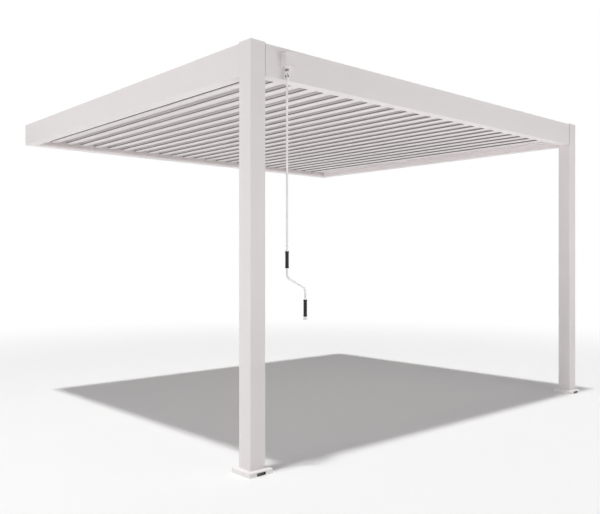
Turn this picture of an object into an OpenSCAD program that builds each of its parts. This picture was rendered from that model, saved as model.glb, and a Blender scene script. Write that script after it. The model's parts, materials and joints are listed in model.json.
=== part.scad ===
// Lean-to pergola: two posts, a frame of box beams against a wall, and a roof of turning louvres
// that a hanging crank opens and closes.

/* [Overall] */
// Width over the outer faces of the two posts
overall_w = 3840; // [3200:10:4200]
// Depth from the front faces of the posts to the wall
overall_d = 3410; // [2600:10:3800]
// Height of the posts, cap included
overall_h = 2500; // [2200:10:2700]

/* [Posts] */
// Side of the square post
post_w = 110; // [100:1:130]
// Wall of the post extrusion
post_wall = 3; // [2:0.5:5]
// Corner radius of the post extrusion
post_corner_r = 4; // [3:0.5:8]
// Thickness of the flat post cap
post_cap_t = 3; // [2:0.5:6]
// Depth of the plug under the post cap
post_plug_h = 14; // [8:1:30]

/* [Feet] */
// Side of the base plate
plate_w = 150; // [140:1:160]
// Thickness of the base plate
plate_t = 10; // [6:1:14]
// Distance between anchor holes
anchor_pitch = 128; // [124:1:136]
// Diameter of the anchor holes
anchor_d = 10; // [8:0.5:12]
// Side of the foot cover
cover_w = 170; // [166:1:200]
// Height of the foot cover
cover_h = 30; // [26:1:50]
// Sheet thickness of the foot cover
cover_t = 2.5; // [2.5:0.5:3]
// Bevel along the top edge of the foot cover
cover_bevel = 3; // [1:0.5:3]
// Width of the rainwater slot
drain_w = 60; // [30:1:80]
// Height of the rainwater slot
drain_h = 14; // [8:1:14]
// Height of the slot's lower edge above the ground
drain_z = 5; // [4:1:8]

/* [Beams] */
// Height of every beam
beam_h = 188; // [170:1:220]
// Depth of the box of the front and side beams
beam_box = 45; // [40:1:50]
// Depth of the box of the wall beam
wall_box = 62; // [40:1:80]
// Wall of the beam extrusions
beam_wall = 2.5; // [2:0.5:4]
// How far the beam faces sit behind the post faces
beam_recess = 1; // [0:0.5:5]
// How far the posts rise above the beams
post_rise = 8; // [4:1:20]
// Thickness of the wall beam's end caps
wall_cap_t = 3; // [2:0.5:5]
// Diameter of the wall fixing holes
wall_bolt_d = 12; // [8:0.5:16]
// Diameter of the access holes in front of the wall fixings
wall_access_d = 26; // [20:1:32]
// Number of wall fixings
wall_bolt_n = 6; // [4:1:8]
// Distance from the wall beam's end to the first wall fixing
wall_bolt_end = 220; // [150:10:400]

/* [Gutters] */
// Inside width of the gutters
gutter_w = 32; // [28:1:40]
// Sheet thickness of the gutters
gutter_t = 2; // [1.5:0.5:3]
// Height of the front and wall gutter lips
gutter_lip_h = 18; // [10:1:18]
// Height of the rain upstand on the right flashing
flash_up = 18; // [10:1:20]

/* [Louvres] */
// Height of the closed louvres above the beams' underside
louvre_rise = 42; // [42:1:60]
// Distance from the left post's outer face to the first louvre's nose
nose_x = 209; // [150:1:240]
// Distance from the last louvre to the right post's outer face
right_gap = 137; // [130:1:240]
// Height of the louvre's nose
nose_h = 6; // [5:1:8]
// Width of the louvre's flat underside
flat_w = 52; // [46:1:60]
// Thickness of the rain upstand on the nose
nose_t = 3; // [2:0.5:4]
// Thickness of the channel floor behind the nose
floor_t = 3; // [2:0.5:4]
// Width of the channel behind the nose
channel_w = 17; // [16:0.5:17]
// Height of the louvre's hollow body
body_h = 36; // [36:1:40]
// Height of the trailing lip's underside
lip_v = 31; // [28:1:31]
// Thickness of the trailing lip
lip_t = 3; // [2:0.5:5]
// How far the trailing lip reaches over the next nose
lip_overlap = 12; // [8:1:16]
// Wall of the louvre extrusion
blade_wall = 1.8; // [1.4:0.1:2.5]
// How far the louvre ends reach over the gutters
drip_overlap = 9; // [6:1:12]
// Thickness of the louvre end caps
cap_t = 4; // [3:0.5:5]
// Length of the end cap's spigot in the blade
spigot_l = 12; // [8:1:30]
// Distance from the nose to the pivot
pivot_u = 30; // [30:0.5:31]
// Height of the pivot above the louvre's underside
pivot_v = 16; // [15:1:18]
// Diameter of the louvre pivots
pivot_d = 12; // [8:0.5:14]

/* [Tie bar] */
// Throw of the levers on the louvre ends
lever_r = 36; // [32:1:40]
// Angle of the closed levers above the horizontal
lever_angle = 40; // [38:1:46]
// Width of the levers
lever_w = 12; // [8:1:15]
// Thickness of the levers
lever_t = 3; // [2:0.5:4]
// Diameter of the eyes at the ends of the levers
lever_eye_d = 18; // [17:0.5:19]
// Height of the tie bar
bar_h = 16; // [12:1:16]
// Thickness of the tie bar
bar_t = 4; // [3:0.5:5]
// Diameter of the lever pins
lever_pin_d = 6; // [4:0.5:7]

/* [Gearbox] */
// Width of the gearbox housing
gearbox_w = 80; // [70:1:100]
// Projection of the housing from the beam face
gearbox_d = 50; // [48:1:60]
// Height of the housing
gearbox_h = 82; // [70:1:90]
// Distance from the near post's outer face to the housing
gearbox_x = 225; // [215:1:600]
// Height of the housing's underside above the beams' underside
gearbox_rise = 70; // [60:1:90]
// Edge radius of the housing
gearbox_r = 5; // [2:0.5:8]
// Height of the lid on the housing
lid_h = 12; // [8:1:16]
// Height of the rim round the housing's underside
rim_h = 6; // [4:1:10]
// How far the lid and the rim stand out
lid_over = 3; // [2:0.5:5]
// Diameter of the collar under the housing
collar_d = 36; // [30:1:44]
// Height of the collar
collar_h = 12; // [8:1:16]

/* [Crank] */
// Distance from the housing's side to the crank axis
crank_x = 25; // [24:1:40]
// Distance from the beam face to the crank axis
crank_y = 30; // [27:1:34]
// Diameter of the driven shaft
shaft_d = 12; // [8:0.5:14]
// Height of the knuckle joint's centre above the beams' underside
knuckle_rise = 14; // [8:1:20]
// Gap between the ears of the knuckle forks
ear_gap = 14; // [12:0.5:18]
// Thickness of the fork ears
ear_t = 3.5; // [3:0.5:5]
// Half width of the fork ears
ear_r = 6; // [5.5:0.5:8]
// Reach of the forks from the knuckle's centre
fork_reach = 18; // [17:1:24]
// Diameter of the knuckle pins
knuckle_pin_d = 6; // [4:0.5:7]
// Diameter of the crank rod
rod_d = 13; // [10:0.5:16]
// Height of the crank's upper corner above the ground
bend_top_z = 1132; // [1080:1:1150]
// Drop of the slanting arm between its corners
arm_drop = 66; // [50:1:90]
// Throw of the crank
crank_throw = 110; // [90:1:115]
// Direction of the crank's throw, from the beam's line outwards
crank_angle = 30; // [0:1:60]
// Bend radius at the middle of the rod
bend_r = 30; // [20:1:36]
// Height of the rod's lower end above the ground
rod_foot_z = 880; // [850:1:884]

/* [Grips] */
// Outer diameter of the grips
grip_d = 23; // [20:0.5:28]
// Length of the grips
grip_l = 100; // [80:1:110]
// Height of the upper grip's lower end above the ground
upper_grip_z = 1187; // [1185:1:1300]
// Height of the rings that hold the grips
stop_h = 4; // [3:0.5:6]
// Diameter of the rings that hold the grips
stop_d = 18; // [17:0.5:20]
// Height of the cap at the rod's lower end
foot_h = 20; // [10:1:24]
// Diameter of the cap at the rod's lower end
foot_d = 22; // [18:0.5:24]

/* [Clearances] */
// Gap between pieces that slip together
slip = 0.3; // [0.2:0.05:0.4]
// Gap round turning pins, on the radius
pin_gap = 0.3; // [0.2:0.05:0.4]
// Least gap beside moving pieces
run_gap = 6; // [5:0.5:8]

/* [Hidden] */
$fn = 48;
overrun = 1;
louvre_n = 24;

beam_top = overall_h - post_rise;
beam_z = beam_top - beam_h;
mount_z = beam_z + beam_h/2;
box_in = beam_recess + beam_box;
wall_face_y = overall_d - wall_box;
gutter_out = gutter_w + gutter_t;

pitch = (overall_w - nose_x - right_gap)/louvre_n;
tail_u = pitch - lip_overlap/2;
body_u = nose_t + channel_w;
// The left flashing ends beside the back of the opened first louvre
flash_lap = pivot_u + pivot_v - body_h - run_gap;
louvre_z = beam_z + louvre_rise;
pivot_z = louvre_z + pivot_v;
blade_y0 = box_in + gutter_out - drip_overlap;
blade_y1 = wall_face_y - gutter_out + drip_overlap;
bar_y = box_in + run_gap;
bar_gap = 1;
lever_y = bar_y + bar_t + bar_gap;
cap_y = blade_y0 - slip - cap_t;
lever_pin_u = lever_r*cos(lever_angle);
lever_pin_v = lever_r*sin(lever_angle);

crank_axis = [gearbox_x + crank_x, beam_recess - crank_y];
gearbox_z = beam_z + gearbox_rise;
knuckle_z = beam_z + knuckle_rise;
ear_out = ear_gap/2 + ear_t;
lower_grip_z = rod_foot_z + foot_h + slip;
bend_lap = 1;
bend_swell = 0.1;
socket_z = fork_reach + ear_t + ear_out/2;

function louvre_name(i) = str("louvre_", i < 10 ? "0" : "", i);
LOUVRES = [for (i = [1:louvre_n]) louvre_name(i)];

frame_white = "#e9e6e3";
louvre_white = "#e4e2df";
metal_grey = "#8b9092";
grip_black = "#2b2b2d";

// The origin is on the wall face, at the middle of the wall beam
module place() {
    translate([-overall_w/2, -overall_d, -mount_z]) children();
}

// Puts a copy of a left-hand piece at the right-hand end
module on_side(right) {
    if (right) translate([overall_w, 0, 0]) mirror([1, 0, 0]) children();
    else children();
}

module rounded_square(w, r) {
    translate([r, 0]) square([w - 2*r, w]);
    translate([0, r]) square([w, w - 2*r]);
    for (x = [r, w - r], y = [r, w - r]) translate([x, y]) circle(r);
}

// Extrudes a section along +Y, from y0 to y1
module along_y(y0, y1) {
    translate([0, y1, 0]) rotate([90, 0, 0]) linear_extrude(y1 - y0) children();
}

// Rectangular tube along +Y, from the origin
module box_tube_y(w, l, h, wall) {
    difference() {
        cube([w, l, h]);
        translate([wall, -overrun, wall]) cube([w - 2*wall, l + 2*overrun, h - 2*wall]);
    }
}

// Rectangular tube along +X, from the origin
module box_tube_x(l, d, h, wall) {
    difference() {
        cube([l, d, h]);
        translate([-overrun, wall, wall]) cube([l + 2*overrun, d - 2*wall, h - 2*wall]);
    }
}

module drain_cut(y0, y1) {
    translate([post_w/2 - drain_w/2, y0, drain_z]) cube([drain_w, y1 - y0, drain_h]);
}

module post(right) {
    tube_z = plate_t;
    tube_h = overall_h - post_cap_t - plate_t;
    color(frame_white) place() on_side(right) difference() {
        translate([0, 0, tube_z]) linear_extrude(tube_h) difference() {
            rounded_square(post_w, post_corner_r);
            translate([post_wall, post_wall]) square(post_w - 2*post_wall);
        }
        drain_cut(-overrun, post_wall + overrun);
    }
}

module post_cap(right) {
    plug_w = post_w - 2*post_wall - 2*slip;
    plug_at = post_wall + slip;
    cap_z = overall_h - post_cap_t;
    color(frame_white) place() on_side(right) {
        translate([0, 0, cap_z]) linear_extrude(post_cap_t) rounded_square(post_w, post_corner_r);
        translate([plug_at, plug_at, cap_z - post_plug_h]) difference() {
            cube([plug_w, plug_w, post_plug_h]);
            translate([post_wall, post_wall, -overrun])
                cube([plug_w - 2*post_wall, plug_w - 2*post_wall, post_plug_h + overrun]);
        }
    }
}

module base_plate(right) {
    color(metal_grey) place() on_side(right) translate([post_w/2, post_w/2, 0]) difference() {
        translate([-plate_w/2, -plate_w/2, 0]) cube([plate_w, plate_w, plate_t]);
        for (x = [-1, 1], y = [-1, 1])
            translate([x*anchor_pitch/2, y*anchor_pitch/2, -overrun])
                cylinder(d = anchor_d, h = plate_t + 2*overrun);
    }
}

module foot_cover(right) {
    edge = (cover_w - post_w)/2;
    bevel_bar = cover_bevel*sqrt(2);
    color(frame_white) place() on_side(right) difference() {
        translate([-edge, -edge, 0]) cube([cover_w, cover_w, cover_h]);
        translate([cover_t - edge, cover_t - edge, -overrun])
            cube([cover_w - 2*cover_t, cover_w - 2*cover_t, cover_h - cover_t + overrun]);
        translate([-slip, -slip, 0]) cube([post_w + 2*slip, post_w + 2*slip, cover_h + overrun]);
        drain_cut(-edge - overrun, -edge + cover_t + overrun);
        translate([post_w/2, post_w/2, cover_h]) for (turn = [0, 90, 180, 270]) rotate(turn)
            translate([cover_w/2, 0, 0]) rotate([0, 45, 0])
                cube([bevel_bar, cover_w + 2*overrun, bevel_bar], center = true);
    }
}

// Pivot holes for the louvres, through a wall from y0 to y1
module pivot_holes(y0, y1) {
    for (i = [1:louvre_n])
        translate([nose_x + (i - 1)*pitch + pivot_u, y1, pivot_z]) rotate([90, 0, 0])
            cylinder(d = pivot_d + 2*pin_gap, h = y1 - y0);
}

module front_beam() {
    color(frame_white) place() difference() {
        translate([post_w, beam_recess, beam_z])
            box_tube_x(overall_w - 2*post_w, beam_box, beam_h, beam_wall);
        pivot_holes(box_in - beam_wall - overrun, box_in + overrun);
    }
}

module side_beam(right) {
    color(frame_white) place() on_side(right) translate([beam_recess, post_w, beam_z])
        box_tube_y(beam_box, wall_face_y - post_w, beam_h, beam_wall);
}

module wall_beam() {
    bolt_pitch = (overall_w - 2*wall_bolt_end)/(wall_bolt_n - 1);
    color(frame_white) place() difference() {
        translate([wall_cap_t, wall_face_y, beam_z])
            box_tube_x(overall_w - 2*wall_cap_t, wall_box, beam_h, beam_wall);
        pivot_holes(wall_face_y - overrun, wall_face_y + beam_wall + overrun);
        for (i = [0:wall_bolt_n - 1]) translate([wall_bolt_end + i*bolt_pitch, overall_d, mount_z])
            rotate([90, 0, 0]) {
                translate([0, 0, -overrun]) cylinder(d = wall_bolt_d, h = wall_box/2);
                translate([0, 0, wall_box/2]) cylinder(d = wall_access_d, h = wall_box);
            }
    }
}

module wall_cap(right) {
    plug_d = wall_box - 2*beam_wall - 2*slip;
    plug_h = beam_h - 2*beam_wall - 2*slip;
    color(frame_white) place() on_side(right) {
        translate([0, wall_face_y, beam_z]) cube([wall_cap_t, wall_box, beam_h]);
        translate([0, wall_face_y + beam_wall + slip, beam_z + beam_wall + slip])
            cube([2*wall_cap_t, plug_d, plug_h]);
    }
}

// Gutter section: a floor from the beam to an upright lip
module gutter_section(lip_h) {
    square([gutter_out, gutter_t]);
    square([gutter_t, gutter_lip_h]);
    translate([gutter_w, 0]) square([gutter_t, lip_h]);
}

module front_gutter() {
    color(frame_white) place() translate([post_w, box_in, beam_z]) rotate([90, 0, 90])
        linear_extrude(overall_w - 2*post_w) gutter_section(gutter_lip_h);
}

module wall_gutter() {
    color(frame_white) place() translate([overall_w - box_in, wall_face_y, beam_z]) rotate([90, 0, -90])
        linear_extrude(overall_w - 2*box_in) gutter_section(gutter_lip_h);
}

// Side gutter with its flashing: over the first nose on the left, under the last lip on the right
module side_gutter(right) {
    lip_h = right ? louvre_rise + nose_h : louvre_rise + lip_v + gutter_t;
    reach = right ? right_gap : nose_x + flash_lap;
    flash_x = box_in + gutter_w;
    flash_z = beam_z + lip_h - gutter_t;
    back_y = wall_face_y - gutter_out;
    color(frame_white) place() on_side(right) {
        translate([box_in, 0, beam_z]) along_y(post_w, back_y) gutter_section(lip_h);
        difference() {
            along_y(blade_y0, back_y) {
                translate([flash_x, flash_z]) square([reach - flash_x, gutter_t]);
                if (right) translate([reach - gutter_t, flash_z]) square([gutter_t, gutter_t + flash_up]);
            }
            translate([0, 0, beam_z]) cube([post_w + slip, post_w, beam_h]);
        }
    }
}

// Louvre section: low nose, channel, hollow body with a flat underside, thin lip over the next nose
function louvre_outline() = [
    [0, 0], [flat_w, 0], [tail_u, lip_v], [pitch + lip_overlap, lip_v],
    [pitch + lip_overlap, lip_v + lip_t], [tail_u, lip_v + lip_t],
    [body_u, body_h], [body_u, floor_t], [nose_t, floor_t], [nose_t, nose_h], [0, nose_h]];

// Chamber inside the section, kept in by the given wall
function louvre_chamber(wall) =
    let (under_slope = lip_v/(tail_u - flat_w),
         over_slope = (body_h - lip_v - lip_t)/(tail_u - body_u),
         under_up = wall*sqrt(1 + under_slope*under_slope),
         over_down = wall*sqrt(1 + over_slope*over_slope),
         start_u = body_u + wall,
         end_u = pitch - 2*lip_overlap - wall)
    [[start_u, wall], [flat_w + (wall - under_up)/under_slope, wall],
     [end_u, (end_u - flat_w)*under_slope + under_up],
     [end_u, body_h - (end_u - body_u)*over_slope - over_down],
     [start_u, body_h - wall*over_slope - over_down]];

// A pin or hub along Y, about the louvre's pivot
module pivot_run(d, y0, y1) {
    translate([pivot_u, y1, pivot_v]) rotate([90, 0, 0]) cylinder(d = d, h = y1 - y0);
}

module louvre_cap(plate_y0, spigot_y0) {
    along_y(plate_y0, plate_y0 + cap_t) polygon(louvre_outline());
    along_y(spigot_y0, spigot_y0 + spigot_l) polygon(louvre_chamber(blade_wall + slip));
}

module lever() {
    translate([pivot_u, lever_y, pivot_v]) rotate([0, -lever_angle, 0])
        translate([0, 0, -lever_w/2]) cube([lever_r, lever_t, lever_w]);
    pivot_run(lever_eye_d, lever_y, cap_y + overrun);
    translate([lever_pin_u, 0, lever_pin_v]) {
        pivot_run(lever_eye_d, lever_y, lever_y + lever_t);
        pivot_run(lever_pin_d, bar_y - bar_gap, lever_y + lever_t);
    }
}

module louvre(i) {
    color(louvre_white) place() translate([nose_x + (i - 1)*pitch, 0, louvre_z]) {
        along_y(blade_y0, blade_y1) difference() {
            polygon(louvre_outline());
            polygon(louvre_chamber(blade_wall));
        }
        union() {
            louvre_cap(cap_y, cap_y + cap_t);
            pivot_run(pivot_d, box_in - beam_wall, cap_y + overrun);
            lever();
        }
        union() {
            louvre_cap(blade_y1 + slip, blade_y1 + slip - spigot_l);
            pivot_run(pivot_d, blade_y1 + slip, wall_face_y + beam_wall);
        }
    }
}

module tie_bar() {
    first_x = nose_x + pivot_u + lever_pin_u;
    bar_z = pivot_z + lever_pin_v;
    color(metal_grey) place() translate([first_x, bar_y + bar_t, bar_z]) rotate([90, 0, 0])
        linear_extrude(bar_t) difference() {
            union() {
                translate([0, -bar_h/2]) square([(louvre_n - 1)*pitch, bar_h]);
                for (x = [0, (louvre_n - 1)*pitch]) translate([x, 0]) circle(d = bar_h);
            }
            for (i = [0:louvre_n - 1]) translate([i*pitch, 0]) circle(d = lever_pin_d + 2*pin_gap);
        }
}

module at_crank(z) {
    translate([crank_axis.x, crank_axis.y, z]) children();
}

// Plan of the housing, rounded at the front, standing out by the given amount
module gearbox_plan(over) {
    w = gearbox_w + 2*over;
    d = gearbox_d + over;
    translate([-over, -over]) {
        translate([0, gearbox_r]) square([w, d - gearbox_r]);
        translate([gearbox_r, 0]) square([w - 2*gearbox_r, d]);
        for (x = [gearbox_r, w - gearbox_r]) translate([x, gearbox_r]) circle(gearbox_r);
    }
}

module gearbox_housing() {
    bore_h = gearbox_h/2;
    color(frame_white) place() difference() {
        translate([gearbox_x, beam_recess - gearbox_d, gearbox_z]) {
            linear_extrude(gearbox_h) gearbox_plan(0);
            linear_extrude(rim_h) gearbox_plan(lid_over);
            translate([0, 0, gearbox_h - lid_h]) linear_extrude(lid_h) gearbox_plan(lid_over);
        }
        at_crank(gearbox_z - overrun) cylinder(d = shaft_d + 2*pin_gap, h = bore_h + overrun);
    }
}

module gearbox_collar() {
    color(frame_white) place() at_crank(gearbox_z - collar_h) difference() {
        cylinder(d = collar_d, h = collar_h);
        translate([0, 0, -overrun]) cylinder(d = shaft_d + 2*pin_gap, h = collar_h + 2*overrun);
    }
}

// Two ears on a bridge, pointing down from the bridge to the knuckle's centre, across X
module fork() {
    for (side = [-1, 1]) translate([side*(ear_gap + ear_t)/2, 0, 0]) rotate([0, 90, 0]) difference() {
        translate([0, 0, -ear_t/2]) {
            cylinder(r = ear_r, h = ear_t);
            translate([-fork_reach, -ear_r, 0]) cube([fork_reach, 2*ear_r, ear_t]);
        }
        translate([0, 0, -ear_t]) cylinder(d = knuckle_pin_d + 2*pin_gap, h = 2*ear_t);
    }
    translate([0, 0, fork_reach]) cylinder(r = ear_out, h = ear_t);
}

module crank_yoke() {
    shaft_z = fork_reach + ear_t;
    shaft_top = gearbox_z + gearbox_h/2 - overrun - knuckle_z;
    color(frame_white) place() at_crank(knuckle_z) {
        fork();
        translate([0, 0, shaft_z - overrun]) cylinder(d = shaft_d, h = shaft_top - shaft_z + overrun);
    }
}

module crank_cross() {
    block = ear_gap - 2*pin_gap;
    block_round = 1.35;
    color(metal_grey) place() at_crank(knuckle_z) {
        intersection() {
            cube(block, center = true);
            sphere(d = block*block_round);
        }
        for (turn = [0, 90]) rotate([0, 90, turn]) cylinder(d = knuckle_pin_d, h = 2*ear_out, center = true);
    }
}

// Fork of the rod's own end of the knuckle, with a round socket for the rod
module crank_head() {
    color(frame_white) place() at_crank(knuckle_z) rotate([180, 0, 90]) {
        fork();
        translate([0, 0, socket_z]) difference() {
            sphere(r = ear_out);
            cylinder(d = rod_d + 2*slip, h = 2*ear_out);
        }
    }
}

// A bend of the rod in the plane of its arm, turning about the origin
module rod_bend(turn) {
    rotate([90, 0, 0]) rotate_extrude(angle = turn) translate([bend_r, 0]) circle(d = rod_d + bend_swell);
}

module ring(z, d, h) {
    translate([0, 0, z]) cylinder(d = d, h = h);
}

module crank_rod() {
    arm_slope = atan2(arm_drop, crank_throw);
    turn = 90 - arm_slope;
    tangent = bend_r*tan(turn/2);
    arm_l = sqrt(arm_drop*arm_drop + crank_throw*crank_throw) - 2*tangent;
    bend_low_z = bend_top_z - arm_drop;
    top_z = knuckle_z - socket_z - slip;
    upper_ring_z = upper_grip_z + grip_l + slip;
    color(frame_white) place() at_crank(0) rotate(-crank_angle) {
        translate([0, 0, bend_top_z + tangent - bend_lap])
            cylinder(d = rod_d, h = top_z - bend_top_z - tangent + bend_lap);
        translate([bend_r, 0, bend_top_z + tangent]) rotate([0, 180, 0]) rod_bend(turn);
        translate([0, 0, bend_top_z]) rotate([0, 90 + arm_slope, 0]) translate([0, 0, tangent - bend_lap])
            cylinder(d = rod_d, h = arm_l + 2*bend_lap);
        translate([crank_throw - bend_r, 0, bend_low_z - tangent]) rod_bend(turn);
        translate([crank_throw, 0, rod_foot_z])
            cylinder(d = rod_d, h = bend_low_z - tangent - rod_foot_z + bend_lap);
        ring(upper_grip_z - slip - stop_h, stop_d, stop_h);
        ring(upper_ring_z, stop_d, stop_h);
        translate([crank_throw, 0, 0]) {
            ring(rod_foot_z, foot_d, foot_h);
            ring(lower_grip_z + grip_l + slip, stop_d, stop_h);
        }
    }
}

// A moulded sleeve with a waist and rolled ends
module grip() {
    lip_r = 2;
    waist = 1;
    bore_r = rod_d/2 + pin_gap;
    rotate_extrude() polygon([
        [bore_r, 0], [grip_d/2 - lip_r, 0], [grip_d/2, lip_r], [grip_d/2, 3*lip_r],
        [grip_d/2 - waist, 6*lip_r], [grip_d/2 - waist, grip_l - 6*lip_r],
        [grip_d/2, grip_l - 3*lip_r], [grip_d/2, grip_l - lip_r], [grip_d/2 - lip_r, grip_l],
        [bore_r, grip_l]]);
}

module upper_grip() {
    color(grip_black) place() at_crank(upper_grip_z) grip();
}

module lower_grip() {
    color(grip_black) place() at_crank(lower_grip_z) rotate(-crank_angle)
        translate([crank_throw, 0, 0]) grip();
}

post(false);  // left_post
post(true);  // right_post
post_cap(false);  // left_post_cap
post_cap(true);  // right_post_cap
base_plate(false);  // left_base_plate
base_plate(true);  // right_base_plate
foot_cover(false);  // left_foot_cover
foot_cover(true);  // right_foot_cover
front_beam();
side_beam(false);  // left_beam
side_beam(true);  // right_beam
wall_beam();
wall_cap(false);  // left_wall_cap
wall_cap(true);  // right_wall_cap
front_gutter();
side_gutter(false);  // left_gutter
side_gutter(true);  // right_gutter
wall_gutter();
tie_bar();
gearbox_housing();
gearbox_collar();
crank_yoke();
crank_cross();
crank_head();
crank_rod();
upper_grip();
lower_grip();
for (i = [1:louvre_n]) louvre(i);
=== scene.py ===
"""Finishes, small fittings and a studio stage for a lean-to pergola with a turning louvre roof."""

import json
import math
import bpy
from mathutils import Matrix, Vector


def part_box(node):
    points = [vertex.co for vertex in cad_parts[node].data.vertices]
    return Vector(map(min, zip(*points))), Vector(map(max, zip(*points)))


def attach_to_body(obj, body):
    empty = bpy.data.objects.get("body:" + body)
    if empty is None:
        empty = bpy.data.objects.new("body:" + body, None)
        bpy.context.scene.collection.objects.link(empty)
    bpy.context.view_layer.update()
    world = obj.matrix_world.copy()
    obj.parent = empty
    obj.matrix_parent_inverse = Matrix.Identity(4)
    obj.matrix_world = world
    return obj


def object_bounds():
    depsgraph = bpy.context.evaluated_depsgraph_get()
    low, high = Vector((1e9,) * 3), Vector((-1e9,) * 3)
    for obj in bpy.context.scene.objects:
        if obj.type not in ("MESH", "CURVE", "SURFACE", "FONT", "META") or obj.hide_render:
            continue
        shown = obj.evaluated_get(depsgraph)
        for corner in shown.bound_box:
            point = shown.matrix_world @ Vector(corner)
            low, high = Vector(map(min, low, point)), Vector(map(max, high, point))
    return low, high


bl_info = {
    "name": "Louvre Pergola Dressing",
    "version": (1, 0, 0),
    "blender": (4, 5, 0),
    "location": "3D View > Sidebar > Pergola",
    "description": "Coats the pergola, adds its small fittings, seals and trim, and sets a stage",
    "category": "Object",
}

import bmesh
import bpy
from bpy.props import FloatProperty, FloatVectorProperty, PointerProperty
from mathutils import Matrix, Vector

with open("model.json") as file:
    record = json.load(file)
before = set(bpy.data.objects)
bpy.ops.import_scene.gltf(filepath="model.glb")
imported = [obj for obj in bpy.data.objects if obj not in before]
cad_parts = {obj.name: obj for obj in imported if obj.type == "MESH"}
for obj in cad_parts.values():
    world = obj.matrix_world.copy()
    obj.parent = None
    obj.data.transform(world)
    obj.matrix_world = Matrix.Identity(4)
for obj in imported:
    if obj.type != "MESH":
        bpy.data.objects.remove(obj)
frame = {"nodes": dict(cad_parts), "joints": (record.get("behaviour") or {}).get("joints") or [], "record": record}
CAD_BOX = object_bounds()

JOINTS = {joint["name"]: joint for joint in frame["joints"]}
MOUNTS = {mount["name"]: mount for mount in frame["record"]["mounts"]}
LOUVRES = sorted(name for name in frame["nodes"] if name.startswith("louvre_"))
PIVOT = Vector(JOINTS[LOUVRES[0] + "_turn"]["pos_m"])
PITCH = JOINTS[LOUVRES[1] + "_turn"]["pos_m"][0] - PIVOT.x
BAR_PIN = Vector(JOINTS["tie_bar_swing"]["pos_m"])
FRONT_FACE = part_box("front_beam")[1].y
WALL_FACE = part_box("wall_beam")[0].y
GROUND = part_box("left_foot_cover")[0].z
MM = 0.001
RIGHT, BACK, UP = Vector((1, 0, 0)), Vector((0, 1, 0)), Vector((0, 0, 1))
QUARTER_TURN = math.radians(90)
SMOOTH_ANGLE = math.radians(35)
# Tolerance for picking edges and faces by their place
TINY = 0.01 * MM
# Least share of a normal along an axis, for a face that points that way
FACING = 0.9
# Share of a radius beyond which a point is on the rim
ON_RIM = 0.99
WHITE = (1, 1, 1, 1)
# Sockets of a Mix node that hold its two colours and their mixture, whose names are not unique
MIX_FROM, MIX_TO, MIX_RESULT = 6, 7, 2
# Refractive index of polyester coats, plastics and rubber
PLASTIC_IOR = 1.5


def linear(hex_code):
    """Linear RGBA of an sRGB hex colour."""
    parts = [int(hex_code[i:i + 2], 16) / 255 for i in (0, 2, 4)]
    return [c / 12.92 if c <= 0.04045 else ((c + 0.055) / 1.055) ** 2.4 for c in parts] + [1.0]


def colour(name, description, hex_code):
    """A colour property with an sRGB hex default."""
    return FloatVectorProperty(
        name=name, description=description, subtype="COLOR", size=4, min=0, max=1, default=linear(hex_code)
    )


def length(name, description, default):
    """A length property in metres."""
    return FloatProperty(name=name, description=description, default=default, min=0, unit="LENGTH")


def angle(name, description, degrees):
    """An angle property, given in degrees."""
    return FloatProperty(name=name, description=description, subtype="ANGLE", default=math.radians(degrees))


def strength(name, description, default):
    """A light's strength, without a unit."""
    return FloatProperty(name=name, description=description, default=default, min=0)


def power(name, description, watts):
    """A lamp's power property in watts."""
    return FloatProperty(name=name, description=description, default=watts, min=0, unit="POWER")


class PergolaFinishes(bpy.types.PropertyGroup):
    """Colours of the coatings, metals and plastics."""

    frame_white: colour("Frame white", "Powder coat of posts, beams and gutters", "E8E2E2")
    louvre_white: colour("Louvre white", "Powder coat of the louvres", "E6E1E0")
    rod_white: colour("Rod white", "Coat of the crank rod", "F0EEEC")
    # Painted highlight: the foot covers' coat is paler than the frame's, standing in for their brightly lit tops.
    cover_white_painted_highlight: colour("Cover white", "Fresh coat of the foot covers", "ECE9E8")
    zinc: colour("Zinc", "Plated steel of the tie bar, knuckle cross and screws", "C2C4C4")
    rubber: colour("Rubber", "Moulded rubber of the grips, pin caps and drain spouts", "242322")
    nylon: colour("Nylon", "Moulded bushes and plugs", "ECEAE6")
    # Painted shade: the greys of the seal's bead and fin are darker than the louvre coat and stand in for the
    # shade in the recess between louvres; the rubber seal itself is real.
    seal: colour("Seal rubber", "Firm rubber bead of the louvre seals", "5C5858")
    # Painted shade: the strips and the boot in this grey stand where there are only shadow gaps, at the ends of
    # the front beam and under the gearbox.
    shade_grey_rubber: colour("Grey rubber", "Rubber of the shaft's boot and the front beam seals", "8C8A88")
    # Painted shade: this fin grey stands in for the shade in the recess between louvres.
    fin: colour("Fin rubber", "Soft fin of the louvre seals", "C2BDBC")


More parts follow.
